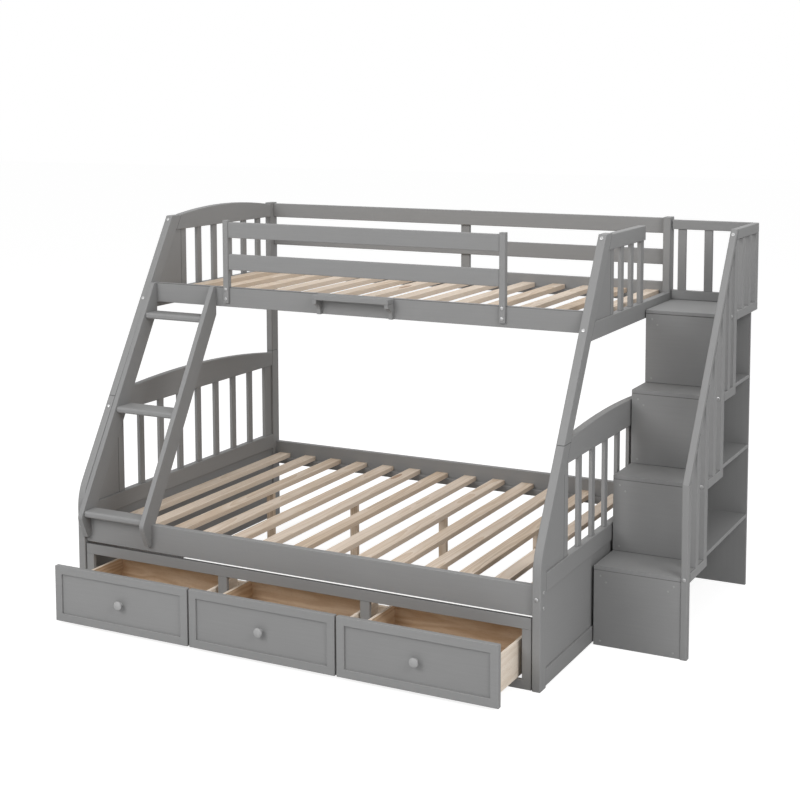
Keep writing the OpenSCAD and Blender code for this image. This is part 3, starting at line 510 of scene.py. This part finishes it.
def brown_veneer(name):
    """Open-grained hardwood, pale outside and browner and darker where it looks into a drawer:
    partly the wood's own colour, partly painted light and shade.
    """
    wood = Finish(name)
    place = wood.board("board_place", "Vector")
    tone = wood.board("board_tone")
    wander = wood.grain(place, along=2.5, across=14, detail=3.0, output="Color")
    bands = growth_rings(wood, place, wander, 0.05, "SIN",
                         {"Scale": 24.0, "Distortion": 1.5, "Detail": 3.0, "Detail Scale": 0.5})
    fibres = wood.grain(place, along=22, across=600, detail=4.0, roughness=0.65)
    pores = wood.grain(place, along=60, across=1300, detail=1.0)
    cloud = wood.grain(place, along=3, across=12)
    shading = bands * 0.3 + fibres * 0.45 + cloud * 0.35 + tone * 0.2
    outside = wood.add("ShaderNodeValToRGB", {"stops": [
        (0.35, chart(VENEER_PALE)), (0.95, chart(VENEER_STREAK))]}, {0: shading})
    inside = wood.add("ShaderNodeValToRGB", {"stops": [
        (0.35, chart(INSIDE_PALE_WITH_SHADE)), (0.95, chart(INSIDE_BROWN_WITH_SHADE))]}, {0: shading})
    # Faces that look into the drawer take darker, browner colours: partly the wood's own, partly
    # painted shade.
    stained_and_shaded = wood.blend(wood.board("looks_inside"), outside, inside)
    speckled = wood.blend((pores > PORE_LEVEL) * PORE_STRENGTH, stained_and_shaded, chart(VENEER_PORE))
    return wood.surface(
        Base_Color=speckled,
        Roughness=0.55 + fibres * 0.1,
        Specular_IOR_Level=BARE_WOOD_SHINE,
        Normal=wood.bump(fibres * 0.6 + pores * 0.4, depth=0.12 * MM),
    )


drawer_veneer = brown_veneer("drawer veneer")
drawer_frame = finish_boards("drawer_frame", rail_paint, edge_mm=1.2, end_mm=0.3)

# The frame's top lies in the dark gap below the side rail, and that shade is painted on it.
frame_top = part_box("drawer_frame")[1].z
dark = drawer_frame.data.attributes["board_joint"].data
for face in drawer_frame.data.polygons:
    if face.center.z > frame_top - TOP_WITHIN:
        for corner in face.loop_indices:
            dark[corner].value = FRAME_TOP_DARK

finish_boards("drawer_runners", drawer_veneer, edge_mm=1.0, end_mm=0.5)

# Drawers. A painted front of four flat rails round a sunk panel, a veneered
# box behind it with the bottom let in, and a turned wooden knob.

FRONT_ROUND = 1.8 * MM
BROAD_SIDE_COSINE = 0.9
LOOK_AHEAD = 60 * MM
KNOB_SIDES = 48
# Painted light: the knobs are lighter than the fronts, as where they catch the lamps.
LIT_KNOB_GREY = (168, 168, 168)
KNOB_SHARES = [(0, 0), (0.47, 0), (0.45, 0.12), (0.44, 0.26), (0.5, 0.42), (0.68, 0.56),
               (0.88, 0.64), (0.97, 0.69), (1.0, 0.75), (0.97, 0.81), (0.88, 0.87),
               (0.7, 0.93), (0.45, 0.975), (0.2, 0.995), (0, 1)]
ALONG_BED = Vector((1, 0, 0))
front_paint = sprayed_paint("gray paint on drawer fronts", MIDDLE_GREY,
                            grain_depth=0.08 * MM, sheen=0.43)
knob_paint = sprayed_paint("gray paint on knobs", LIT_KNOB_GREY, grain_depth=0.03 * MM, sheen=0.41)


def turned(profile, centre, axis, start, steps):
    """Spins a profile of (radius, height) pairs round an axis."""
    shape = bmesh.new()
    verts = [shape.verts.new(centre + start * radius + axis * height)
             for radius, height in profile]
    edges = [shape.edges.new(pair) for pair in zip(verts, verts[1:])]
    bmesh.ops.spin(shape, geom=verts + edges, cent=centre, axis=axis, dvec=Vector(),
                   angle=2 * math.pi, steps=steps, use_merge=True, use_duplicate=False)
    bmesh.ops.remove_doubles(shape, verts=shape.verts, dist=SAME_POINT)
    bmesh.ops.recalc_face_normals(shape, faces=shape.faces)
    shape.faces.layers.int.new("rounded")
    return shape


def routed_frame(low, high, width):
    """One flat frame seen from the front, its middle cut out of a single board."""
    shape = bmesh.new()
    bmesh.ops.create_cube(shape, size=1)
    for vert in shape.verts:
        vert.co = Vector([a + (b - a) * (side + 0.5) for a, b, side in zip(low, high, vert.co)])
    broad = [face for face in shape.faces if abs(face.normal.y) > BROAD_SIDE_COSINE]
    bmesh.ops.inset_individual(shape, faces=broad, thickness=width, use_even_offset=True)
    bmesh.ops.delete(shape, geom=broad, context="FACES_ONLY")
    bmesh.ops.bridge_loops(shape, edges=[edge for edge in shape.edges if edge.is_boundary])
    bmesh.ops.recalc_face_normals(shape, faces=shape.faces)
    shape.faces.layers.int.new("rounded")
    return shape


def mark_inside(piece, low, high):
    """Marks the faces of a box that look into it."""
    inside = piece.data.attributes.new("looks_inside", "FLOAT", "FACE")
    for face in piece.data.polygons:
        ahead = face.center + face.normal * LOOK_AHEAD
        inside.data[face.index].value = float(all(a < b < c for a, b, c in zip(low, ahead, high)))


for drawer in ("left", "middle", "right"):
    body = f"drawer_{drawer}"
    front_low, front_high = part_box(f"{body}_front")
    rail_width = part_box(f"{body}_panel")[0].x - front_low.x
    front = routed_frame(front_low, front_high, rail_width)
    round_over(front, [edge for edge in front.edges if edge.calc_face_angle() > ARRIS_ANGLE],
               FRONT_ROUND)
    write_grain(front, f"{body} front", ALONG_BED)
    into_piece(f"{body}_front_frame", front, front_paint, body, (f"{body}_front",))
    finish_boards(f"{body}_panel", front_paint, edge_mm=0.4, end_mm=0.4, body=body)
    box = finish_boards(f"{body}_box", drawer_veneer, edge_mm=1.0, end_mm=0.6, body=body)
    mark_inside(box, *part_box(f"{body}_box"))
    low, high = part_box(f"{body}_knob")
    knob_r = (high.x - low.x) / 2
    knob_len = high.y - low.y
    foot = Vector(((low.x + high.x) / 2, high.y, (low.z + high.z) / 2))
    knob = turned([(r * knob_r, h * knob_len) for r, h in KNOB_SHARES], foot, -ACROSS_BED,
                  ALONG_BED, KNOB_SIDES)
    write_grain(knob, f"{body} knob", ACROSS_BED)
    into_piece(f"{body}_knob_turned", knob, knob_paint, body, (f"{body}_knob",))

# Storage stairs. Boards of painted fibreboard: treads let into a stepped side,
# risers screwed to their edges, and one tall back board.

BOARD_GREY = (147, 147, 147)
stair_paint = sprayed_paint("gray paint on stairs", BOARD_GREY, grain_depth=0.04 * MM, sheen=0.49)

finish_boards("stair_treads", stair_paint, edge_mm=2.2, end_mm=2.2)
finish_boards("stair_risers", stair_paint, edge_mm=2.2, end_mm=1.0)
for boards in ("stair_side", "stair_back"):
    finish_boards(boards, stair_paint, edge_mm=0.8, end_mm=0.8)

# Stair railing. A newel, a sloping handrail and stepped foot rails, with flat
# bars between them, all pine rounded over for the hand, and a guard behind.

finish_boards("stair_newel", post_paint, edge_mm=4.0, end_mm=0.2)
finish_boards("stair_handrail", post_paint, edge_mm=4.0, end_mm=0.2)
finish_boards("stair_railing_rails", rail_paint, edge_mm=3.0, end_mm=0.6)
finish_boards("stair_railing_bars", rail_paint, edge_mm=1.8, end_mm=0.6)
finish_boards("stair_back_guard", rail_paint, edge_mm=2.5, end_mm=0.6)

# Fasteners. Zinc-plated bolts with low domed heads and hexagon sockets, small
# painted caps over the riser screws, and spacers between stairs and bed.

ZINC_DULL = (172, 172, 172)
ZINC_BRIGHT = (200, 200, 200)
HEAD_SIDES = 36
HEAD_SHARES = [(1.0, 0.0), (1.0, 0.42), (0.96, 0.68), (0.86, 0.87), (0.7, 0.97), (0.52, 1.0)]
SOCKET_SIDES = 6
SOCKET_WIDE_SHARE = 0.44
SOCKET_DEEP_SHARE = 0.6
CAP_GREY = (166, 166, 166)
CAP_MAX_R = 6 * MM
CAP_SIDES = 24
CAP_SHARES = [(0, 0), (1, 0), (1, 0.4), (0.93, 0.75), (0.75, 0.95), (0.4, 1), (0, 1)]
SPACER_MIN_R = 10 * MM
SPACER_SHARES = [(0, 0), (0.94, 0), (1, 0.12), (1, 0.88), (0.94, 1), (0, 1)]


def zinc(name):
    """Zinc plating: bright, with fine polishing marks and slightly dull patches."""
    metal = Finish(name)
    place = metal.add("ShaderNodeTexCoord", output="Object")
    marks = metal.noise(metal.stretch(place, (900, 900, 2600)), scale=1.0, detail=3.0)
    patches = metal.noise(place, scale=180.0)
    coloured = metal.blend(patches, chart(ZINC_DULL), chart(ZINC_BRIGHT))
    return metal.surface(
        Base_Color=coloured,
        Metallic=1.0,
        Roughness=patches * 0.15 + marks * 0.1 + 0.28,
        Normal=metal.bump(marks, depth=0.02 * MM),
    )


def extruded_loop(shape, edges):
    """Extrudes a loop of open edges in place, and gives its new verts and open edges."""
    made = bmesh.ops.extrude_edge_only(shape, edges=edges)["geom"]
    verts = [item for item in made if isinstance(item, bmesh.types.BMVert)]
    edges = [item for item in made if isinstance(item, bmesh.types.BMEdge)]
    return verts, [edge for edge in edges if edge.is_boundary]


def head_with_socket(foot, out, radius, height):
    """A low domed bolt head with a hexagon socket sunk in it."""
    start = out.orthogonal().normalized()
    shape = turned([(r * radius, h * height) for r, h in HEAD_SHARES], foot, out, start, HEAD_SIDES)
    open_edges = [edge for edge in shape.edges if edge.is_boundary]
    mouth = [edge for edge in open_edges if (edge.verts[0].co - foot).dot(out) > height / 2]
    bmesh.ops.contextual_create(shape, geom=[edge for edge in open_edges if edge not in mouth])
    lip, lip_edges = extruded_loop(shape, mouth)
    flat = 2 * math.pi / SOCKET_SIDES
    for vert in lip:
        arm = (vert.co - foot) - out * (vert.co - foot).dot(out)
        turn = start.angle(arm) % flat
        reach = SOCKET_WIDE_SHARE * radius * math.cos(flat / 2) / math.cos(turn - flat / 2)
        vert.co += arm.normalized() * (reach - arm.length)
    bottom, bottom_edges = extruded_loop(shape, lip_edges)
    for vert in bottom:
        vert.co -= out * height * SOCKET_DEEP_SHARE
    bmesh.ops.contextual_create(shape, geom=bottom_edges)
    bmesh.ops.recalc_face_normals(shape, faces=shape.faces)
    return shape


def fastener_places():
    """Where each fastener sits on the CAD model: foot, outward direction, radius, height."""
    shape = joined_up("bolts")
    places = []
    for board in boards_in(shape):
        faces = unique(face for vert in board for face in vert.link_faces)
        seat = max(faces, key=lambda face: round(face.calc_area(), 9))
        middle = seat.calc_center_median()
        heights = [-(vert.co - middle).dot(seat.normal) for vert in board]
        radius = max((vert.co - middle).cross(seat.normal).length for vert in board)
        out = -seat.normal
        height = max(heights)
        # Both ends of a cap's solid are alike, and the domed one faces the front.
        if radius < CAP_MAX_R and out.y > 0:
            middle, out = middle + out * height, -out
        places.append((middle, out, radius, height))
    shape.free()
    return places


bolt_zinc = zinc("zinc plated steel")
cap_paint = sprayed_paint("gray paint on screw caps", CAP_GREY, grain_depth=0.02 * MM, sheen=0.41)
bolt_heads = bmesh.new()
screw_caps = bmesh.new()
spacers = bmesh.new()
for foot, out, radius, height in fastener_places():
    if CAP_MAX_R < radius < SPACER_MIN_R:
        target = bolt_heads
        part = head_with_socket(foot, out, radius, height)
    else:
        is_cap = radius < CAP_MAX_R
        target, profile = (screw_caps, CAP_SHARES) if is_cap else (spacers, SPACER_SHARES)
        part = turned([(r * radius, h * height) for r, h in profile], foot, out,
                      out.orthogonal().normalized(), CAP_SIDES)
    loose = bpy.data.meshes.new("loose")
    part.to_mesh(loose)
    part.free()
    target.from_mesh(loose)
    bpy.data.meshes.remove(loose)
into_piece("bolt_heads", bolt_heads, bolt_zinc, "bed", ("bolts",))
for name, shape in (("riser_screw_caps", screw_caps), ("stair_spacers", spacers)):
    write_grain(shape, name)
    into_piece(name, shape, cap_paint, "bed", ("bolts",))

# Knob screws. One pan head screw with a washer holds each knob from inside the
# drawer, through the box front.

BOX_FRONT_THICK = 12 * MM
SCREW_SIDES = 32
SCREW_PROFILE_MM = [(0, 0), (7, 0), (7, 0.9), (4.2, 1.0), (4.1, 2.2), (3.2, 3.1),
                    (1.5, 3.5), (0, 3.5)]

for drawer in ("left", "middle", "right"):
    body = f"drawer_{drawer}"
    knob_low, knob_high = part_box(f"{body}_knob")
    inner_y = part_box(f"{body}_box")[0].y + BOX_FRONT_THICK
    foot = Vector(((knob_low.x + knob_high.x) / 2, inner_y, (knob_low.z + knob_high.z) / 2))
    screw = turned([(r * MM, h * MM) for r, h in SCREW_PROFILE_MM], foot, ACROSS_BED, ALONG_BED,
                   SCREW_SIDES)
    into_piece(f"{body}_knob_screw", screw, bolt_zinc, body)

# Studio. A pale floor that fades to white where no shadow falls, one broad soft
# lamp high on the left, a weaker one on the right, a faint one overhead, and
# even light from all round.

WHITE = (1.0, 1.0, 1.0, 1.0)
ROOM_LIGHT = 0.36
FLOOR_SIZE = 30
FLOOR_DROP = 1 * MM
FLOOR_SHADE = (0.8, 0.8, 0.8, 1.0)
FLOOR_SEEN = (0.42, 0.42, 0.42, 1.0)
FLOOR_GLOW = 0.84
LAMP_AIM = Vector((0, 0, 0.7))

# Each lamp's place and width in metres, and its power in watts.
LAMPS = {
    "key lamp": ((-2.2, -5.6, 4.2), 4.0, 200),
    "side lamp": ((4.8, -2.8, 4.0), 3.0, 122),
    "top lamp": ((0.6, 1.4, 4.8), 4.0, 60),
}

floor = Finish("studio floor")
seen = floor.add("ShaderNodeLightPath", output="Is Camera Ray")
lit = floor.add("ShaderNodeBsdfDiffuse", {}, {"Color": floor.blend(seen, FLOOR_SHADE, FLOOR_SEEN)})
glow = floor.add("ShaderNodeEmission", {}, {"Color": WHITE, "Strength": seen * FLOOR_GLOW})
both = floor.add("ShaderNodeAddShader", {}, {0: lit, 1: glow})
floor.add("ShaderNodeOutputMaterial", {}, {"Surface": both})
ground = bmesh.new()
bmesh.ops.create_grid(ground, x_segments=1, y_segments=1, size=FLOOR_SIZE)
floor_mesh = bpy.data.meshes.new("studio_floor")
ground.to_mesh(floor_mesh)
ground.free()
floor_mesh.materials.append(floor.data)
floor_object = bpy.data.objects.new("studio_floor", floor_mesh)
floor_object.location.z = -FLOOR_DROP
bpy.context.scene.collection.objects.link(floor_object)

room = Finish("studio", bpy.data.worlds)
camera_ray, glossy_ray, clear_ray = [
    room.add("ShaderNodeLightPath", output=f"Is {ray} Ray")
    for ray in ("Camera", "Glossy", "Transmission")]
soft = room.add("ShaderNodeBackground", {}, {"Color": WHITE, "Strength": ROOM_LIGHT})
white = room.add("ShaderNodeBackground", {}, {"Color": WHITE, "Strength": 1.0})
in_view = camera_ray | glossy_ray | clear_ray
sky = room.add("ShaderNodeMixShader", {}, {0: in_view, 1: soft, 2: white})
room.add("ShaderNodeOutputWorld", {}, {"Surface": sky})
bpy.context.scene.world = room.data

for name, (place, width, power) in LAMPS.items():
    lamp = bpy.data.lights.new(name, "AREA")
    lamp.shape = "DISK"
    lamp.size = width
    lamp.energy = power
    stand = bpy.data.objects.new(name, lamp)
    stand.location = place
    stand.rotation_euler = (LAMP_AIM - stand.location).to_track_quat("-Z", "Y").to_euler()
    bpy.context.scene.collection.objects.link(stand)

# Camera. It stands before the stairs' end of the bed, about six metres off, and
# looks back to the left and a little down, through a shifted lens.

LENS = 67.42
LENS_SHIFT = -0.2
SENSOR = 36
CAMERA_PLACE = (2.6702, -5.2452, 2.0514)
LOOKS_DOWN = math.radians(5.62)
ROLL = math.radians(0.15)
TURNED_LEFT = math.radians(27.3)

view = bpy.data.cameras.new("camera")
view.lens = LENS
view.sensor_width = SENSOR
view.shift_y = LENS_SHIFT
camera = bpy.data.objects.new("camera", view)
camera.location = CAMERA_PLACE
camera.rotation_euler = (math.radians(90) - LOOKS_DOWN, ROLL, TURNED_LEFT)
bpy.context.scene.collection.objects.link(camera)
bpy.context.scene.camera = camera
bpy.context.scene.view_settings.view_transform = "Standard"
